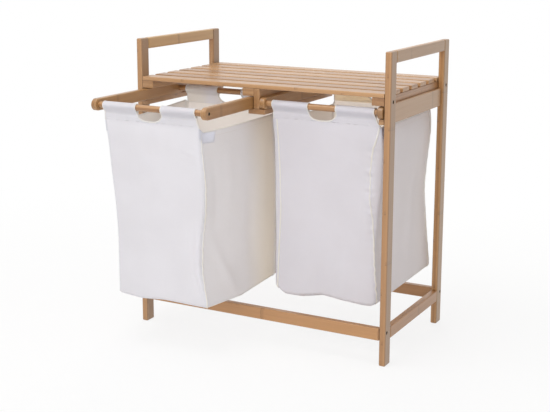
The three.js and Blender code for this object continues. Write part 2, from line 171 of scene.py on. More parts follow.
# Side frames: four flat posts, two handles flush with their tops, and thin rails tenoned between
# them. All are bamboo strips glued side by side in layers, planed, eased and lacquered. They stand on
# edge, so the layers lie across X and the narrow faces show them as stripes.
LAYER, EASED_EDGE, GRAIN_DEPTH = 0.0054, 0.0022, 0.0003
KNUCKLE_PITCH, KNUCKLE_STEP, KNUCKLE_WAVE = 0.31, 0.618, 0.007
LINE_CORE, LINE_END, BAND_PLACE, BAND_REACH = 0.0003, 0.0016, 0.0035, 0.0075
BAMBOO_LIGHT, BAMBOO_DARK = (0.496, 0.276, 0.124, 1), (0.290, 0.136, 0.049, 1)
# BAMBOO_SIDE_SHADE is a painted shade that darkens and greys the broad side faces.
# BAMBOO_WEAR_AND_HIGHLIGHT pales the eased edges: partly wear, partly a painted highlight.
BAMBOO_SIDE_SHADE, BAMBOO_WEAR_AND_HIGHLIGHT = (0.245, 0.165, 0.104, 1), (0.80, 0.58, 0.38, 1)
KNUCKLE = (0.170, 0.080, 0.032, 1)
AXES = "XYZ"


def mixed(tree, share, a, b, blend="MIX"):
    """Two colours mixed by a share."""
    return put(tree, "Mix", {"data_type": "RGBA", "blend_type": blend}, i0=share, i6=a, i7=b).outputs[2]


def weighed(tree, start, *pairs):
    """A start value plus the sum of each value times its weight."""
    for value, weight in pairs:
        start = calc(tree, "MULTIPLY_ADD", value, weight, start)
    return start


def noise(tree, place, scale, detail, roughness=0.5):
    """Soft noise at a place, from zero to one."""
    return put(tree, "TexNoise", Vector=place, Scale=scale, Detail=detail, Roughness=roughness).outputs["Fac"]


def bamboo(name, along, through, face, mark, tone=(1, 1, 1), side_shade=0.0):
    """Laminated bamboo. along is the grain's axis and through the axis of the layers. face is where the
    broad face lies on the second, and mark where a knuckle lies on the first. The tone of a layer is
    noise of the number of layers below the face. Fibres, streaks and clouds are noise drawn out along
    the grain, and their weighed sum mixes light and dark. A knuckle, where a ring of the cane was, is a
    wavy line, dark to LINE_CORE and gone at LINE_END, with a soft band at BAND_PLACE beside it. It comes
    again at each pitch, and lies KNUCKLE_STEP of the pitch further from layer to layer. The broad faces
    are darkened by the share given, a painted shade of the side faces. End grain shows pores, and edges
    are paler where the eased normal turns from the flat one: partly wear, partly a painted highlight."""
    material, tree, shader = new_material(name)
    place = put(tree, "TexCoord").outputs
    parts = put(tree, "SeparateXYZ", i0=place["Object"]).outputs
    cross = next(axis for axis in AXES if axis not in (along, through))
    grain, depth, across = (parts[axis] for axis in (along, through, cross))
    below_face = calc(tree, "ABSOLUTE", calc(tree, "SUBTRACT", depth, face))
    layers = calc(tree, "FLOOR", calc(tree, "DIVIDE", below_face, LAYER))
    seed = calc(tree, "ADD", layers, face * 37 + mark * 11)
    strip = put(tree, "TexWhiteNoise", {"noise_dimensions": "1D"}, W=seed).outputs["Value"]

    def grained(grain_scale, cross_scale, detail, shift=0.0):
        """Noise with its own scale along the grain and across it, another for each strip."""
        level = weighed(tree, shift, (strip, 9.0), (depth, cross_scale))
        point = put(tree, "CombineXYZ", i0=times(tree, grain, grain_scale),
                    i1=times(tree, across, cross_scale), i2=level)
        return noise(tree, point.outputs[0], 1.0, detail, 0.6)

    fibres = grained(9.0, 900.0, 3.0)
    streaks = grained(2.2, 150.0, 2.0, 3.7)
    clouds = grained(5.0, 22.0, 2.0, 8.1)
    moved = times(tree, calc(tree, "FRACT", times(tree, layers, KNUCKLE_STEP)), KNUCKLE_PITCH)
    wave = times(tree, calc(tree, "SUBTRACT", grained(0.0, 70.0, 1.0, 5.3), 0.5), KNUCKLE_WAVE)
    run = calc(tree, "ADD", calc(tree, "SUBTRACT", grain, mark), calc(tree, "ADD", moved, wave))
    near = calc(tree, "WRAP", run, KNUCKLE_PITCH / 2, -KNUCKLE_PITCH / 2)
    line = spread(tree, calc(tree, "ABSOLUTE", near), LINE_CORE, LINE_END, 1.0, 0.0)
    beside = calc(tree, "ABSOLUTE", calc(tree, "SUBTRACT", near, BAND_PLACE))
    band = spread(tree, beside, 0.0, BAND_REACH, 1.0, 0.0)
    share = weighed(tree, 0.0, (strip, 0.56), (clouds, 0.26), (streaks, 0.46), (fibres, 0.42))
    colour = mixed(tree, spread(tree, share, 0.34, 1.30), BAMBOO_DARK, BAMBOO_LIGHT)
    colour = mixed(tree, times(tree, band, 0.26), colour, KNUCKLE)
    colour = mixed(tree, times(tree, line, 0.50), colour, KNUCKLE)

    normal = put(tree, "SeparateXYZ", i0=place["Normal"]).outputs
    broad = spread(tree, calc(tree, "ABSOLUTE", normal[through]), 0.25, 0.65)
    # Painted shade: the broad side faces are darkened by the share given.
    colour = mixed(tree, times(tree, broad, side_shade), colour, BAMBOO_SIDE_SHADE)
    end = spread(tree, calc(tree, "ABSOLUTE", normal[along]), 0.75, 0.97)
    pores = spread(tree, grained(0.0, 1500.0, 1.0, 2.2), 0.5, 0.72)
    colour = mixed(tree, times(tree, end, weighed(tree, 0.18, (pores, 0.35))), colour, KNUCKLE)
    eased = put(tree, "Bevel", {"samples": 6}, Radius=EASED_EDGE).outputs[0]
    flat = put(tree, "NewGeometry").outputs["Normal"]
    turned = put(tree, "VectorMath", {"operation": "DOT_PRODUCT"}, i0=eased, i1=flat).outputs["Value"]
    edge = spread(tree, turned, 0.80, 0.995, 1.0, 0.0)
    # Paler eased edges: partly wear, partly a painted highlight along the rounded edges.
    colour = mixed(tree, times(tree, edge, weighed(tree, 0.10, (streaks, 0.5))), colour, BAMBOO_WEAR_AND_HIGHLIGHT)
    colour = mixed(tree, 1.0, colour, (*tone, 1), "MULTIPLY")

    height = calc(tree, "SUBTRACT", fibres, times(tree, line, 0.8))
    bump = put(tree, "Bump", Strength=0.25, Distance=GRAIN_DEPTH, Height=height, Normal=eased)
    fill(tree, shader, Base_Color=colour, Roughness=spread(tree, fibres, 0.2, 0.8, 0.50, 0.36),
         Coat_Weight=0.55, Coat_Roughness=0.30, Normal=bump.outputs[0])
    return material


def finish(name, material):
    """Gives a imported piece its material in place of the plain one."""
    mesh = nodes[name].data
    mesh.materials.clear()
    mesh.materials.append(material)


def high(name, axis):
    """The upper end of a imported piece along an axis."""
    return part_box(name)[1][AXES.index(axis)]


def low(name, axis):
    """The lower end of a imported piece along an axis."""
    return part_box(name)[0][AXES.index(axis)]


# How much painted shade darkens the posts' broad side faces.
POST_SIDE_SHADE = 0.55
POSTS = {
    "front_left_post": (0.46, (0.90, 0.88, 0.85)),
    "front_right_post": (0.245, (0.90, 0.87, 0.85)),
    "back_left_post": (0.33, (0.90, 0.88, 0.85)),
    "back_right_post": (0.60, (0.96, 0.93, 0.84)),
}
# Each rail: its knuckle mark, its tone, and how much painted shade darkens its broad side faces.
SIDE_RAILS = {
    "left_handle": (0.085, (1.14, 1.22, 1.05), 0.1),
    "right_handle": (0.035, (1.17, 1.21, 1.20), 0.4),
    "left_upper_side_rail": (0.16, (1, 1, 1), 0.1),
    "right_upper_side_rail": (0.20, (1.03, 1.05, 1.09), 0.4),
    "left_lower_side_rail": (0.02, (1, 1, 1), 0.1),
    "right_lower_side_rail": (0.13, (1.03, 0.94, 0.80), 0.1),
}
for name, (mark, tone) in POSTS.items():
    finish(name, bamboo(name, "Z", "X", high(name, "X"), mark, tone, POST_SIDE_SHADE))
for name, (mark, tone, side_shade) in SIDE_RAILS.items():
    finish(name, bamboo(name, "Y", "X", high(name, "X"), mark, tone, side_shade))

# Long rails: two bamboo rails near the floor, one at the front and one at the back. They run from side
# frame to side frame, and a screw through each post holds them.
LONG_RAIL_MARKS = {"front_long_rail": 0.012, "back_long_rail": -0.21}
for name, mark in LONG_RAIL_MARKS.items():
    finish(name, bamboo(name, "X", "Y", low(name, "Y"), mark, (0.95, 0.88, 0.80)))

# Shelf: seven flat slats over three battens, of the same lacquered bamboo with the broad faces up. The
# outer battens are screwed to the posts, and the centre one runs beside the web of the guides.
SLAT_MARKS = (-0.21, 0.13, -0.05, 0.24, -0.14, 0.05, 0.20)
BATTENS = {
    "left_batten": (0.21, (1.05, 1.08, 1.1)),
    "centre_batten": (0.12, (1.05, 1.08, 1.1)),
    "right_batten": (0.03, (0.95, 0.92, 0.92)),
}
# The slats are tinted lighter and bluer all over, a painted sheen of the light from above.
for number, mark in enumerate(SLAT_MARKS, 1):
    name = f"slat_{number}"
    finish(name, bamboo(name, "X", "Z", high(name, "Z"), mark, (1.06, 1.09, 1.14)))
for name, (mark, tone) in BATTENS.items():
    finish(name, bamboo(name, "Y", "Z", low(name, "Z"), mark, tone))

# Guides: a bamboo web on edge and a flange under it, an upside-down T below the shelf's middle, and a
# ledge along each side. The carriers' inner bars run on the flange and their outer bars on the ledges.
GUIDE_MARKS = {"guide_flange": 0.18, "left_ledge": 0.05, "right_ledge": 0.23}
finish("guide_web", bamboo("guide_web", "Y", "X", high("guide_web", "X"), 0.10))
for name, mark in GUIDE_MARKS.items():
    finish(name, bamboo(name, "Y", "Z", high(name, "Z"), mark))

# Carriers: for each bin, two bamboo bars with full-round ends and two dowels let into them near their
# ends, held by small screws. The bars slide on the guides, and the bag hangs on the dowels.
BAR_TONE, DOWEL_TONE = (0.95, 0.93, 0.81), (0.92, 0.90, 0.86)
BARS = {
    "left_carrier_left_bar": (-0.205, BAR_TONE),
    "left_carrier_right_bar": (-0.225, BAR_TONE),
    "right_carrier_left_bar": (0.11, BAR_TONE),
    # This bar is tinted darker, a painted shade of the shelf over its front end.
    "right_carrier_right_bar": (0.06, (0.70, 0.67, 0.60)),
}
DOWEL_MARKS = {
    "left_carrier_front_dowel": -0.26,
    "left_carrier_back_dowel": -0.08,
    "right_carrier_front_dowel": 0.09,
    "right_carrier_back_dowel": 0.25,
}
for name, (mark, tone) in BARS.items():
    finish(name, bamboo(name, "Y", "X", high(name, "X"), mark, tone))
for name, mark in DOWEL_MARKS.items():
    finish(name, bamboo(name, "X", "Z", high(name, "Z"), mark, DOWEL_TONE))

# Screws: blackened steel with a hexagon socket, sunk just below the wood. Eight hold the long rails and
# the outer battens to the posts, and eight small ones hold the dowels in the bars.
STEEL_DARK, STEEL_LIGHT = (0.018, 0.016, 0.015, 1), (0.045, 0.040, 0.036, 1)
black_steel, tree, shader = new_material("black_screw")
grime = noise(tree, put(tree, "TexCoord").outputs["Object"], 700.0, 2.0)
fill(tree, shader, Base_Color=mixed(tree, grime, STEEL_DARK, STEEL_LIGHT), Metallic=0.85,
     Roughness=spread(tree, grime, 0.3, 0.7, 0.35, 0.55))
for name in nodes:
    if name.endswith("_screw"):
        finish(name, black_steel)

# Bags: off-white cotton canvas. One strip of cloth makes front, bottom and back and reaches round the
# corners, where a panel is sewn in at each side. Its ends are folded over the dowels and sewn down as
# sleeves, with a hand cut in each. Lengths are in millimetres, from the middle of the four dowel ends.
MM = 0.001
COTTON, COTTON_SHADE = (0.855, 0.868, 0.950, 1), (0.820, 0.832, 0.912, 1)
# LINING colours the inside faces and back sleeves lighter and warmer than the outside: painted warm light in
# their shade.
LINING, LINING_SHADE = (0.940, 0.915, 0.865, 1), (0.900, 0.870, 0.810, 1)
# A cream painted on the right-hand side panels as warm light coming through the cloth, with its share at the
# front.
PAINTED_WARM_LIGHT, FRONT_WARM_LIGHT = (0.985, 0.915, 0.760, 1), 0.14
CREAM_START, WARM_LIGHT_FADE = (0.004, 0.022), (0.030, 0.170)
EDGING, EDGING_GLOW = (0.890, 0.880, 0.875, 1), (0.96, 0.94, 0.91, 1)
OUTSIDE_PASSING, EDGING_PASSING = 0.47, 0.35
THREAD_LIGHT, THREAD_DARK = (0.86, 0.84, 0.83, 1), (0.70, 0.68, 0.68, 1)
THREAD_PITCH = 0.0009
# The bag's width, depth and height, how far the strip reaches round a corner, the cloth's thickness
# and the cells and the merging distance of its grids.
WIDE, DEEP, TALL, RETURN = 262.0, 345.0, 410.0, 13.0
CLOTH, CELL, MERGED = 1.1, 4.0, 0.02
# Depths below the dowels: of the seam under a sleeve, of a sleeve's stitches, of a side panel's hem, and
# of the levels at which a corner line is given. HEM_ARCH is how far a hem hangs in its middle.
SLEEVE_SEAM, STITCHED, SIDE_HEM, HEM_ARCH = 35.0, 17.5, 47.0, 2.0
LEVELS = (35, 60, 93, 163, 233, 303, 373, 443, 470)
SLEEVE_RADIUS, SLEEVE_PINCH = 9.0, 13.0
CUT_TOP, CUT_FALL, CUT_ROUND = 4.0, 27.0, 0.74
FOOT_SAG, FOOT_ROUND = 9.0, 5.0


def cotton(name, colour, shade, glow, passing, painted_warm_light=0.0):
    """Canvas. Its threads go over and under each other as the product of two sines of the cloth's
    lengths. Slubs and a cloudy tone are noise, and a share of the light is passing through. The
    right-hand side panel is painted with warm light: from its back corner on, a smooth step over
    CREAM_START brings in the share given, and another over WARM_LIGHT_FADE takes it to FRONT_WARM_LIGHT."""
    material, tree, shader = new_material(name)
    cloth = put(tree, "SeparateXYZ", i0=put(tree, "UVMap", {"uv_map": "cloth"}).outputs[0]).outputs
    place = put(tree, "TexCoord").outputs["Object"]
    warp, weft = (calc(tree, "SINE", times(tree, cloth[axis], math.pi / THREAD_PITCH)) for axis in "XY")
    weave = times(tree, warp, weft)
    drawn = put(tree, "CombineXYZ", i0=times(tree, cloth["X"], 900.0), i1=times(tree, cloth["Y"], 60.0))
    slubs = noise(tree, drawn.outputs[0], 1.0, 2.0)
    clouds = noise(tree, place, 11.0, 3.0)
    creases = noise(tree, place, 90.0, 3.0)

    # Painted warm light on the right-hand side panel, strongest near its back corner.
    past_corner = calc(tree, "SUBTRACT", (WIDE + DEEP) * MM, cloth["X"])
    start = spread(tree, past_corner, *CREAM_START)
    fading = spread(tree, past_corner, *WARM_LIGHT_FADE, painted_warm_light, FRONT_WARM_LIGHT)
    on_panel = calc(tree, "LESS_THAN", past_corner, (DEEP - RETURN) * MM)
    painted_light_share = times(tree, times(tree, start, fading), on_panel)
    tone = mixed(tree, spread(tree, clouds, 0.32, 0.68), colour, shade)
    tone = mixed(tree, painted_light_share, tone, PAINTED_WARM_LIGHT)
    tone = mixed(tree, times(tree, spread(tree, slubs, 0.52, 0.75), 0.10), tone, shade)
    tone = mixed(tree, spread(tree, weave, -1.0, -0.2, 0.12, 0.0), tone, shade)

    height = weighed(tree, creases, (slubs, 0.10), (weave, 0.10))
    bump = put(tree, "Bump", Strength=0.30, Distance=0.0012, Height=height).outputs[0]
    fill(tree, shader, Base_Color=tone, Roughness=spread(tree, weave, -1.0, 1.0, 0.95, 0.82),
         Specular_IOR_Level=0.25, Sheen_Weight=0.12, Normal=bump)
    through = put(tree, "BsdfTranslucent", Color=glow, Normal=bump)
    both = put(tree, "MixShader", i0=passing, i1=shader.outputs[0], i2=through.outputs[0])
    fill(tree, tree.nodes["Material Output"], Surface=both.outputs[0])
    return material


thread, tree, shader = new_material("cotton_thread")
twist = noise(tree, put(tree, "TexCoord").outputs["Object"], 900.0, 1.0)
fill(tree, shader, Base_Color=mixed(tree, twist, THREAD_LIGHT, THREAD_DARK), Roughness=0.8)


def bell(distance, reach):
    """A bell curve: one where the distance is zero, and little past twice the reach."""
    return np.exp(-(distance / reach) ** 2)


def softened(values, reach, closed):
    """Each point averaged with its neighbours along the first axis, with the weights of a bell curve. An
    open line is carried on past its ends by its end values."""
    steps = np.arange(-3 * reach, 3 * reach + 1)
    weights = bell(steps, 1.4 * reach)
    index = np.arange(len(values))[:, None] + steps
    index = index % len(values) if closed else np.clip(index, 0, len(values) - 1)
    return np.einsum("ij...,j->i...", values[index], weights / weights.sum())


def smooth_line(place, stops, values):
    """The value at each place of a soft line through the values at the stops: 240 points on straight
    lines from stop to stop, softened with a reach of 9 of them."""
    fine = np.linspace(stops[0], stops[-1], 240)
    return np.interp(place, fine, softened(np.interp(fine, stops, values), 9, False))


def paired(across, along):
    """The cloth's lengths across and along at each point of a grid, from arrays that spread over it."""
    return np.stack(np.broadcast_arrays(across, along), -1)


def put_piece(mesh, materials):
    """An object for a mesh, of the same name, with smooth faces and its materials."""
    mesh.polygons.foreach_set("use_smooth", np.ones(len(mesh.polygons), bool))
    for material in materials:
        mesh.materials.append(material)
    made = bpy.data.objects.new(mesh.name, mesh)
    bpy.context.scene.collection.objects.link(made)
    return made


def cloth_piece(name, grids, middle, materials):
    """One object from grids of points (rows, columns, xyz) about a middle, in millimetres, each with the
    cloth's lengths as its UV and the number of its material. Points that lie on each other are merged,
    so edges join and a row of one point closes."""
    points, faces, lengths, slots, start = [], [], [], [], 0
    for grid, measure, slot in grids:
        rows, columns = grid.shape[:2]
        index = np.arange(rows * columns).reshape(rows, columns)
        loops = np.stack([index[1:, :-1], index[1:, 1:], index[:-1, 1:], index[:-1, :-1]], -1).reshape(-1, 4)
        faces.append(loops + start)
        slots.append(np.full(len(loops), slot))
        lengths.append(measure.reshape(-1, 2)[loops.ravel()])
        points.append(grid.reshape(-1, 3) + middle)
        start += rows * columns
    mesh = bpy.data.meshes.new(name)
    mesh.from_pydata((np.concatenate(points) * MM).tolist(), [], np.concatenate(faces).tolist())
    mesh.polygons.foreach_set("material_index", np.concatenate(slots))
    layer = mesh.uv_layers.new(name="cloth")
    layer.data.foreach_set("uv", (np.concatenate(lengths) * MM).astype(np.float32).ravel())
    edit = bmesh.new()
    edit.from_mesh(mesh)
    bmesh.ops.remove_doubles(edit, verts=edit.verts, dist=MERGED * MM)
    edit.to_mesh(mesh)
    edit.free()
    return put_piece(mesh, materials)


def thicken(piece):
    """Gives a sheet the cloth's thickness, half to each side. Its inner side takes the material that
    comes after the one of its outer side."""
    wall = piece.modifiers.new("thickness", "SOLIDIFY")
    wall.thickness, wall.offset, wall.material_offset, wall.use_quality_normals = CLOTH * MM, 0, 1, True


def roll(path, out, half_width, half_height, sides=10):
    """A grid for a rounded band along a path: each section is an ellipse, half_width along the cloth and
    half_height out of it, and the ends are closed to a point."""
    ahead = np.gradient(path, axis=0)
    across = np.cross(ahead, out)
    across /= np.linalg.norm(across, axis=1, keepdims=True)
    out = np.cross(across, ahead)
    out /= np.linalg.norm(out, axis=1, keepdims=True)
    turn = np.linspace(0, 2 * np.pi, sides + 1)[None, :, None]
    grid = path[:, None] + half_width * np.cos(turn) * across[:, None]
    grid = grid + half_height * np.sin(turn) * out[:, None]
    first, last = (np.repeat(point[:, None], sides + 1, 1) for point in (path[:1], path[-1:]))
    grid = np.concatenate([first, grid, last])
    run = np.cumsum(np.linalg.norm(np.diff(grid[:, 0], axis=0, prepend=grid[:1, 0]), axis=1))
    return grid, paired(run[:, None], turn[..., 0] * half_width), 0


def stitches(rows, pitch=3.4, length=2.5, half=0.28, sides=6):
    """Points and faces of the stitches in each row, given as (path, out): short threads with rounded
    ends, one to each pitch. A thread is four rings, as (place along it, share of its half width)."""
    turn = np.linspace(0, 2 * np.pi, sides, endpoint=False)
    rings = np.array([(-0.5, 0.4), (-0.36, 1.0), (0.36, 1.0), (0.5, 0.4)])
    along, radius = rings[:, :1] * length, rings[:, 1:] * half
    form = np.broadcast_arrays(along, radius * np.cos(turn), radius * np.sin(turn))
    form = np.stack(form, -1).reshape(-1, 3)
    index = np.arange(len(form)).reshape(len(rings), sides)
    turned = np.roll(index, -1, 1)
    quads = np.stack([index[:-1], index[1:], turned[1:], turned[:-1]], -1).reshape(-1, 4)
    ends = np.array([index[0], index[-1, ::-1]])
    points, faces, start = [], [], 0
    for path, out in rows:
        run = np.concatenate([[0], np.cumsum(np.linalg.norm(np.diff(path, axis=0), axis=1))])
        place = np.arange(pitch / 2, run[-1], pitch)
        at, normal = (np.stack([np.interp(place, run, part[:, axis]) for axis in range(3)], -1)
                      for part in (path, out))
        ahead = np.gradient(at, axis=0)
        ahead /= np.linalg.norm(ahead, axis=1, keepdims=True)
        across = np.cross(normal, ahead)
        across /= np.linalg.norm(across, axis=1, keepdims=True)
        axes = np.stack([ahead, across, np.cross(ahead, across)], 1)
        points.append((at[:, None] + np.einsum("pj,njk->npk", form, axes)).reshape(-1, 3))
        for first in start + len(form) * np.arange(len(place)):
            faces += (quads + first).tolist() + (ends + first).tolist()
        start += len(points[-1])
    return np.concatenate(points), faces


def outward(wall):
    """The level direction out of the wall at each of its points: across its columns, turned by a quarter."""
    around = wall[:, :-1]
    ahead = np.roll(around, -1, 1) - np.roll(around, 1, 1)
    out = np.stack([ahead[..., 1], -ahead[..., 0], 0 * ahead[..., 0]], -1)
    out /= np.linalg.norm(out, axis=-1, keepdims=True)
    return np.concatenate([out, out[:, :1]], 1)


def along_wall(grid, place):
    """A line down the wall: in each row the value between its two columns nearest to the place."""
    place = np.ravel(place) % (grid.shape[1] - 1)
    row, column = np.arange(len(grid)), place.astype(int)
    share = (place - column)[:, None]
    return grid[row, column] * (1 - share) + grid[row, column + 1] * share


def bag_wall(corners, bottom, hems, bulges, folds, seam_places, puckers):
    """The wall and the bottom of a bag, as grids, and the columns of its corners and seams. A point of
    the wall lies between two corner lines at its height. It is moved out by the panel's bulge (sine
    across times sine down, to the power 0.7), by folds (bell curves across a line, sine along it to the
    power 0.8) and by puckers at the seams (two sines of the depth, a bell curve across), all of which
    fade out at the hem. The corners are softened, and at its foot the wall turns in by a quarter
    round. The bottom is the surface between the wall's four lower edges, hung lower in its middle."""
    counts = [round(WIDE / CELL), round(DEEP / CELL)] * 2
    turns = np.cumsum(counts)
    side = np.repeat(np.arange(4), counts)
    share = np.concatenate([np.arange(count) / count for count in counts])
    on_side = side % 2 == 1
    panel = np.where(on_side, DEEP, WIDE)
    slope = on_side * np.clip(np.minimum(share, 1 - share) * panel / RETURN, 0, 1)
    hem = np.interp(side + share, (1, 2, 3, 4), hems)
    top = SLEEVE_SEAM + (hem - SLEEVE_SEAM) * slope + HEM_ARCH * on_side * np.sin(np.pi * share)
    low = softened(np.interp(side + share, *bottom), 1, True)
    down = np.linspace(0, 1, round(TALL / CELL) + 1)[:, None]
    drop = top + (low - top) * down
    lines = np.array([[smooth_line(drop, LEVELS, values) for values in corner] for corner in corners])
    column = np.arange(len(side))
    start, end = lines[side, :, :, column], lines[(side + 1) % 4, :, :, column]
    points = (start + (end - start) * share[:, None, None]).transpose(2, 0, 1)

    out = np.array([(0, -1), (1, 0), (0, 1), (-1, 0)], float)[side]
    move = np.array(bulges)[side] * np.sin(np.pi * share) * np.sin(np.pi * down) ** 0.7
    along = share * panel
    for number, from_along, from_drop, to_along, to_drop, reach, height in folds:
        step = np.array([to_along - from_along, to_drop - from_drop])
        part = ((along - from_along) * step[0] + (drop - from_drop) * step[1]) / (step @ step)
        off = np.abs((along - from_along) * step[1] - (drop - from_drop) * step[0]) / math.hypot(*step)
        move += (side == number) * height * bell(off, reach) * np.sin(np.pi * np.clip(part, 0, 1)) ** 0.8
    seams = [corner + np.interp(down, np.linspace(0, 1, len(places)), places) / CELL
             for corner, places in zip(turns, seam_places)]
    for number, (seam, (reach, height)) in enumerate(zip(seams, puckers)):
        off = ((column - seam + len(side) / 2) % len(side) - len(side) / 2) * CELL
        pucker = 0.55 * np.sin(drop / 3.1 + 1.7 * number) + 0.45 * np.sin(drop / 5.3 + 3.1 * number)
        move += height * pucker * bell(off, reach) * np.clip((drop - SIDE_HEM) / 40, 0, 1)
    points = points + (move * np.clip((drop - top) / 14, 0.15, 1))[..., None] * out
    rounded = softened(points.transpose(1, 0, 2), 1, True).transpose(1, 0, 2)
    points += (rounded - points) * np.clip((drop - SLEEVE_SEAM) / 50, 0.1, 1)[..., None]

    turned = np.clip((drop - (low - FOOT_ROUND)) / FOOT_ROUND, 0, 1)
    inward = points.mean(1, keepdims=True) - points
    inward *= (FOOT_ROUND * (1 - np.sqrt(1 - turned ** 2)) / np.linalg.norm(inward, axis=-1))[..., None]
    wall = np.concatenate([points + inward, -drop[..., None]], -1)
    wall = np.concatenate([wall, wall[:, :1]], 1)
    run = np.append(np.cumsum(panel / np.array(counts)[side]), 0) - CELL

    wide, deep = counts[:2]
    edges = (wall[-1, first:last + 1] for first, last in zip((0, *turns), turns))
    front, right_edge, far, left_edge = edges
    far, left_edge = far[::-1], left_edge[::-1]
    u, v = np.linspace(0, 1, wide + 1)[None, :, None], np.linspace(0, 1, deep + 1)[:, None, None]
    base = (1 - v) * front + v * far + (1 - u) * left_edge[:, None] + u * right_edge[:, None]
    base -= (1 - u) * ((1 - v) * front[0] + v * far[0]) + u * ((1 - v) * front[-1] + v * far[-1])
    base[..., 2] -= (FOOT_SAG * (1 - (2 * u - 1) ** 4) * (1 - (2 * v - 1) ** 4))[..., 0]
    base_lengths = paired(u[..., 0] * WIDE, v[..., 0] * DEEP - 2 * TALL)
    return wall, [(wall, paired(run, wall[..., 2]), 0), (base, base_lengths, 0)], turns, seams


def sleeve(dowel_y, ends, cut_x, cut_half, facing, row):
    """The two grids of a sleeve, left and right of its hand cut, and the lines along their cut edges and
    ends. The section goes up the outer flank, which starts on the row of points at the top of the
    panel, round the dowel and down the inner flank. A flank leaves the dowel along a tangent and hangs
    straight below the pinch, with a groove at the stitches. From the dowel down it moves over to the
    row's own place by the square of its depth, hangs slack by two sines along the dowel, and crumples
    beside the cut by a bell curve across and a sine down. The cut's half width is
    cut_half * cos(a)^CUT_ROUND at a depth of CUT_TOP + CUT_FALL * sin(a)^CUT_ROUND."""
    radius, pinch = SLEEVE_RADIUS, SLEEVE_PINCH
    angle = np.linspace(0, np.pi / 2, 25)
    depth = np.concatenate([[0, 2], CUT_TOP + CUT_FALL * np.sin(angle) ** CUT_ROUND, [33, SLEEVE_SEAM]])
    width = np.concatenate([[1, 1], np.cos(angle) ** CUT_ROUND, [0, 0]])
    leaves = radius ** 2 / pinch
    slant = radius * math.cos(math.asin(radius / pinch)) * (pinch - depth) / (pinch - leaves)
    round_part = np.sqrt(np.clip(radius ** 2 - depth ** 2, 0, None))
    flank = softened(np.where(depth < leaves, round_part, np.maximum(slant, 0)), 1, False)
    outer_flank = flank - 0.9 * bell(depth - STITCHED, 2.2) + 0.5 * bell(depth - STITCHED - 6, 3.5)
    outer_flank[-1] = 0
    arc = np.linspace(0, np.pi, 15)[1:-1]
    y = facing * np.concatenate([outer_flank[::-1], radius * np.cos(arc), -CLOTH - flank])
    z = np.concatenate([-depth[::-1], radius * np.sin(arc), -depth])
    width = np.concatenate([width[::-1], np.ones(len(arc)), width])
    run = np.cumsum(np.hypot(np.diff(y, prepend=y[0]), np.diff(z, prepend=z[0])))
    out = np.stack([0 * y, -np.gradient(z), np.gradient(y)], 1) * -facing
    hang = np.clip(-z / SLEEVE_SEAM, 0, 1)[:, None]
    free = np.sin(np.pi * np.linspace(0, 1, len(z)))[:, None] * hang
    cut_rows = np.flatnonzero(width > 0)
    cut_rows = slice(cut_rows[0] - 1, cut_rows[-1] + 1)
    split = int(np.argmin(np.abs(row[:, 0] - cut_x)))
    grids, edges = [], []
    for end, part, sign in zip(ends, (row[:split + 1], row[split:]), (-1, 1)):
        cut = (row[split, 0] + sign * cut_half * width)[:, None]
        share = np.linspace(0, 1, len(part))
        first, last = (np.full_like(cut, end), cut)[::-sign]
        x = first * (1 - share) + last * share
        slack = (np.sin(x * 0.13 + 0.4 * dowel_y) + 0.6 * np.sin(x * 0.31 + 1.3 * sign)) * free
        crumple = 1.6 * bell(x - cut, 12) * np.sin(0.5 * z)[:, None] * free
        straight = np.interp(share, (0, 1), (end, row[split, 0])[::-sign])
        x = x + (part[:, 0] - straight) * hang ** 2
        across = dowel_y + y[:, None] + (part[:, 1] - dowel_y) * hang ** 2
        across = across + facing * (0.7 * np.abs(slack) + np.abs(crumple))
        grid = np.stack(np.broadcast_arrays(x, across, z[:, None]), -1)
        grid[0] = part
        grids.append((grid[::facing], paired(x, run[:, None])[::facing], 1 + facing))
        at_cut, at_end = (-1, 0)[::-sign]
        edges += [(grid[cut_rows, at_cut], out[cut_rows]), (grid[:, at_end], out)]
    return grids, edges
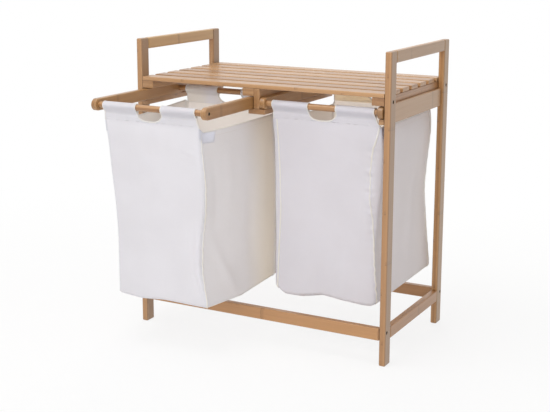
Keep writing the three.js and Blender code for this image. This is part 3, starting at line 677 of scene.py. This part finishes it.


# The two bags of this hamper, each with its own cloth and its own hang. Panels are counted from the
# front round over the right, 0 to 3, and depths are taken from the dowels down.
# glow: colour of the light that comes through the outside. painted_warm_light: the share of painted
# warm light on the outside's right-hand side panel. inside: the same of the inside, the share of light
# that passes, and its share of painted warm light. back_sleeve: colour, shade, glow and the share that
# passes.
# corners: X and Y of the four corner lines at LEVELS, from the front left corner. bottom: depth of the
# lower edge at places round the bag, where 0 to 4 are the corners. hems: depth of the side panels' top
# edges, at the right panel's front and back and the left panel's back and front. bulges: of the panels.
# sleeves: for front and back, X of its ends, X of the hand cut's middle, and the cut's half width.
# folds: panel, start (along, depth), end (along, depth), reach, height. seam_places: from the front right
# corner, how far a seam lies past its corner, from its top to its foot. puckers: their reach and height.
# One cloth, set per bag: the right bag's outside passes less light (painted shade); insides and back sleeves
# are lighter, warmer and pass more (painted warm light).
BAGS = {
    "left": {
        "glow": (0.89, 0.89, 0.91, 1),
        "painted_warm_light": 1.0,
        "inside": ((1.0, 0.96, 0.91, 1), 0.60, 0.8),
        "back_sleeve": (LINING, COTTON, (1.0, 0.99, 0.98, 1), 0.5),
        "corners": [
            [(-127, -128, -129, -129, -127, -126, -128, -129, -129),
             (-171, -167, -161, -152, -143, -137, -134, -133, -133)],
            [(129, 125, 124, 129, 121, 106, 100, 116, 124),
             (-171, -167, -160, -153, -147, -141, -137, -135, -135)],
            [(134, 136, 139, 144, 148, 148, 147, 144, 144),
             (171, 171, 170, 168, 167, 166, 166, 166, 166)],
            [(-118, -120, -124, -128, -127, -126, -128, -129, -129),
             (171, 171, 168, 163, 160, 160, 162, 162, 162)],
        ],
        "bottom": ((0, 0.25, 0.5, 1, 1.5, 2, 2.5, 3, 3.5, 4),
                   (466, 471, 465, 466, 474, 458, 464, 459, 470, 466)),
        "hems": (47, 47, 28, 47),
        "bulges": (3.5, 3, 3, 3),
        "sleeves": (((-128, 121), -5, 35), ((-120, 134), 8, 36)),
        "folds": [
            (0, 205, 88, 262, 104, 4, 2.0), (0, 210, 104, 258, 118, 4, 1.6),
            (0, 225, 196, 262, 200, 4, 1.2), (0, 150, 60, 120, 130, 16, -1.2),
            (0, 240, 240, 252, 480, 6, -4.0), (0, 60, 250, 75, 440, 20, 1.2),
            (1, 45, 110, 60, 300, 14, -2.0), (1, 120, 80, 100, 260, 22, 2.2),
            (1, 200, 180, 230, 430, 24, -2.6), (1, 40, 300, 150, 470, 16, 3.0),
            (1, 290, 60, 310, 380, 20, -3.0),
        ],
        "seam_places": ((8, 6, 14, 16, 4), (-13, -13), (13, 13), (-13, -13)),
        "puckers": ((8, 1.2), (9, 1.0), (9, 1.0), (9, 1.0)),
    },
    "right": {
        "glow": (0.81, 0.79, 0.84, 1),
        "painted_warm_light": 0.2,
        "inside": ((1.0, 0.94, 0.83, 1), 0.60, 0.2),
        "back_sleeve": (LINING, LINING_SHADE, (0.97, 0.90, 0.79, 1), 0.61),
        "corners": [
            [(-126, -126, -127, -128, -130, -129, -130, -132, -132),
             (-171, -169, -165, -159, -155, -153, -151, -149, -149)],
            [(144, 151, 151, 147, 134, 127, 127, 130, 131),
             (-171, -168, -161, -152, -148, -145, -143, -139, -139)],
            [(132, 136, 136, 135, 134, 135, 137, 141, 142),
             (174, 183, 183, 165, 152, 165, 177, 187, 187)],
            [(-130, -130, -130, -130, -128, -127, -128, -129, -129),
             (171, 176, 172, 165, 160, 165, 170, 172, 172)],
        ],
        "bottom": ((0, 0.08, 0.2, 0.45, 0.67, 0.88, 0.96, 1, 1.5, 2, 2.5, 3, 3.5, 3.9, 4),
                   (450, 468, 469, 457, 464, 468, 467, 461, 455, 446, 457, 459, 465, 462, 450)),
        "hems": (35, 39, 44, 42),
        "bulges": (3.5, 4, 3, -2),
        "sleeves": (((-126, 132), 3, 36.2), ((-130, 132), 3, 36)),
        "folds": [
            (0, 118, 380, 95, 460, 12, -3.0), (0, 190, 330, 178, 465, 14, 3.0),
            (0, 150, 110, 160, 300, 24, -2.0), (0, 60, 60, 40, 250, 20, 1.6),
            (0, 244, 20, 238, 330, 7, 4.5), (1, 90, 120, 120, 330, 20, -3.0),
            (1, 230, 150, 200, 400, 26, 3.0), (0, 245, 110, 252, 250, 7, 1.6),
            (1, 300, 80, 320, 200, 14, -2.0),
        ],
        "seam_places": ((-2, -24, -29, -24, -11, -3, 0, 2, 4), (-13, -13), (13, 13), (9, 13, 16, 10, 6)),
        "puckers": ((10, 2.2), (9, 1.0), (9, 1.0), (5, 0.5)),
    },
}
# Half widths and half heights of the rounded bands at the cloth's edges and seams, and how far out of
# the cloth's middle the threads lie. Rows of stitches keep CUT_CLEAR off the middle of a hand cut. They
# run BESIDE_SEAM columns beside a seam, along its SEAM_ROWS, and BELOW_HEM rows below a hem.
CUT_BAND, HEM_BAND, SEAM_BAND, FOOT_BAND = (1.6, 1.2), (1.2, 1.0), (2.4, 2.6), (1.6, 1.2)
SLEEVE_THREAD, WALL_THREAD, TAB_THREAD = -0.3, 0.6, 0.7
CUT_CLEAR, ROW_POINTS = 31.0, 30
BESIDE_SEAM, BELOW_HEM, SEAM_ROWS = 2, 3, slice(2, -3)
TAB_WIDE, TAB_TALL, TAB_FOOT, TAB_LIFT = 48.0, 26.0, 1.2, 13.0


def corner_tab(wall, out, corner, step):
    """The grid of a tab that is sewn on beside a corner, and its rows of stitches, one cell in from the
    free edge and from the foot. It lifts off the wall by TAB_FOOT, and by TAB_LIFT times the share of
    its width to the power 1.5, less towards its foot."""
    tall, wide = round(TAB_TALL / CELL), round(TAB_WIDE / CELL)
    columns = corner + step * np.arange(wide + 1)
    free = np.linspace(0, 1, wide + 1)
    lift = TAB_FOOT + TAB_LIFT * free ** 1.5 * np.linspace(1, 0.55, tall + 1)[:, None]
    wall, out = wall[:tall + 1, columns], out[:tall + 1, columns]
    grid = wall + lift[..., None] * out
    lengths = paired(free * TAB_WIDE, np.arange(tall + 1)[:, None] * -CELL)
    lines = (slice(None), -2), (tall - 1, slice(None))
    rows = [(grid[line] + TAB_THREAD * out[line], out[line]) for line in lines]
    return (grid[::-step], lengths[::-step], 0), rows


for name, bag in BAGS.items():
    dowels = [f"{name}_carrier_{end}_dowel" for end in ("front", "back")]
    front_dowel, back_dowel = (sum(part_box(dowel), Vector()) / 2 / MM for dowel in dowels)
    middle = np.array((front_dowel + back_dowel) / 2)
    outside = cotton(f"{name}_cotton_outside", COTTON, COTTON_SHADE, bag["glow"], OUTSIDE_PASSING,
                     bag["painted_warm_light"])
    inside = cotton(f"{name}_cotton_inside", LINING, LINING_SHADE, *bag["inside"])
    back_sleeve = cotton(f"{name}_cotton_back_sleeve", *bag["back_sleeve"])
    edging = cotton(f"{name}_cotton_edging", EDGING, LINING_SHADE, EDGING_GLOW, EDGING_PASSING)

    # The cloth from front to back with its sleeves, and rows of stitches left and right of each cut.
    wall, grids, turns, seams = bag_wall(bag["corners"], bag["bottom"], bag["hems"], bag["bulges"],
                                         bag["folds"], bag["seam_places"], bag["puckers"])
    out = outward(wall)
    bands, rows, tabs = [], [], []
    tops = wall[0, :turns[0] + 1], wall[0, turns[1]:turns[2] + 1][::-1]
    sleeves = zip((front_dowel, back_dowel), (-1, 1), bag["sleeves"], tops)
    for dowel, facing, (ends, cut_x, cut_half), top in sleeves:
        dowel_y = dowel.y - middle[1]
        sleeve_grids, edges = sleeve(dowel_y, ends, cut_x, cut_half, facing, top)
        grids += sleeve_grids
        bands += [roll(*edge, *CUT_BAND) for edge in edges]
        for first, last in ((ends[0], cut_x - CUT_CLEAR), (cut_x + CUT_CLEAR, ends[1])):
            line = np.linspace(first, last, ROW_POINTS)
            path = np.stack(np.broadcast_arrays(line, dowel_y + facing * SLEEVE_THREAD, -STITCHED), 1)
            rows.append((path, np.tile((0, facing, 0), (ROW_POINTS, 1))))
    # The four seams near the corners, then the hem, the foot and the tab of each side panel.
    for seam, step in zip(seams, (BESIDE_SEAM, -BESIDE_SEAM) * 2):
        bands.append(roll(along_wall(wall, seam), along_wall(out, seam), *SEAM_BAND))
        line, beside = (along_wall(grid, seam + step)[SEAM_ROWS] for grid in (wall, out))
        rows.append((line + WALL_THREAD * beside, beside))
    inset = round(RETURN / CELL)
    for first, last, front, step in (*turns[:2], turns[0], 1), (*turns[2:], turns[3], -1):
        span = np.arange(first + inset, last - inset + 1)
        bands.append(roll(wall[-1, span], out[-1, span] - (0, 0, 1), *FOOT_BAND))
        bands.append(roll(wall[0, span], out[0, span], *HEM_BAND))
        rows.append((wall[BELOW_HEM, span] + WALL_THREAD * out[BELOW_HEM, span], out[BELOW_HEM, span]))
        tab, tab_rows = corner_tab(wall, out, front, step)
        tabs.append(tab)
        rows += tab_rows

    panels = cloth_piece(f"{name}_bag_panels", grids, middle, (outside, inside, back_sleeve, back_sleeve))
    corner_tabs = cloth_piece(f"{name}_bag_corner_tabs", tabs, middle, (outside, outside))
    thicken(panels)
    thicken(corner_tabs)
    bag_seams = cloth_piece(f"{name}_bag_seams", bands, middle, (edging,))
    points, faces = stitches(rows)
    sewing = bpy.data.meshes.new(f"{name}_bag_stitches")
    sewing.from_pydata(((points + middle) * MM).tolist(), [], faces)
    pieces = [panels, corner_tabs, bag_seams, put_piece(sewing, (thread,))]
    for piece in pieces:
        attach(piece, f"{name}_carrier")
        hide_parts(f"{name}_bag")
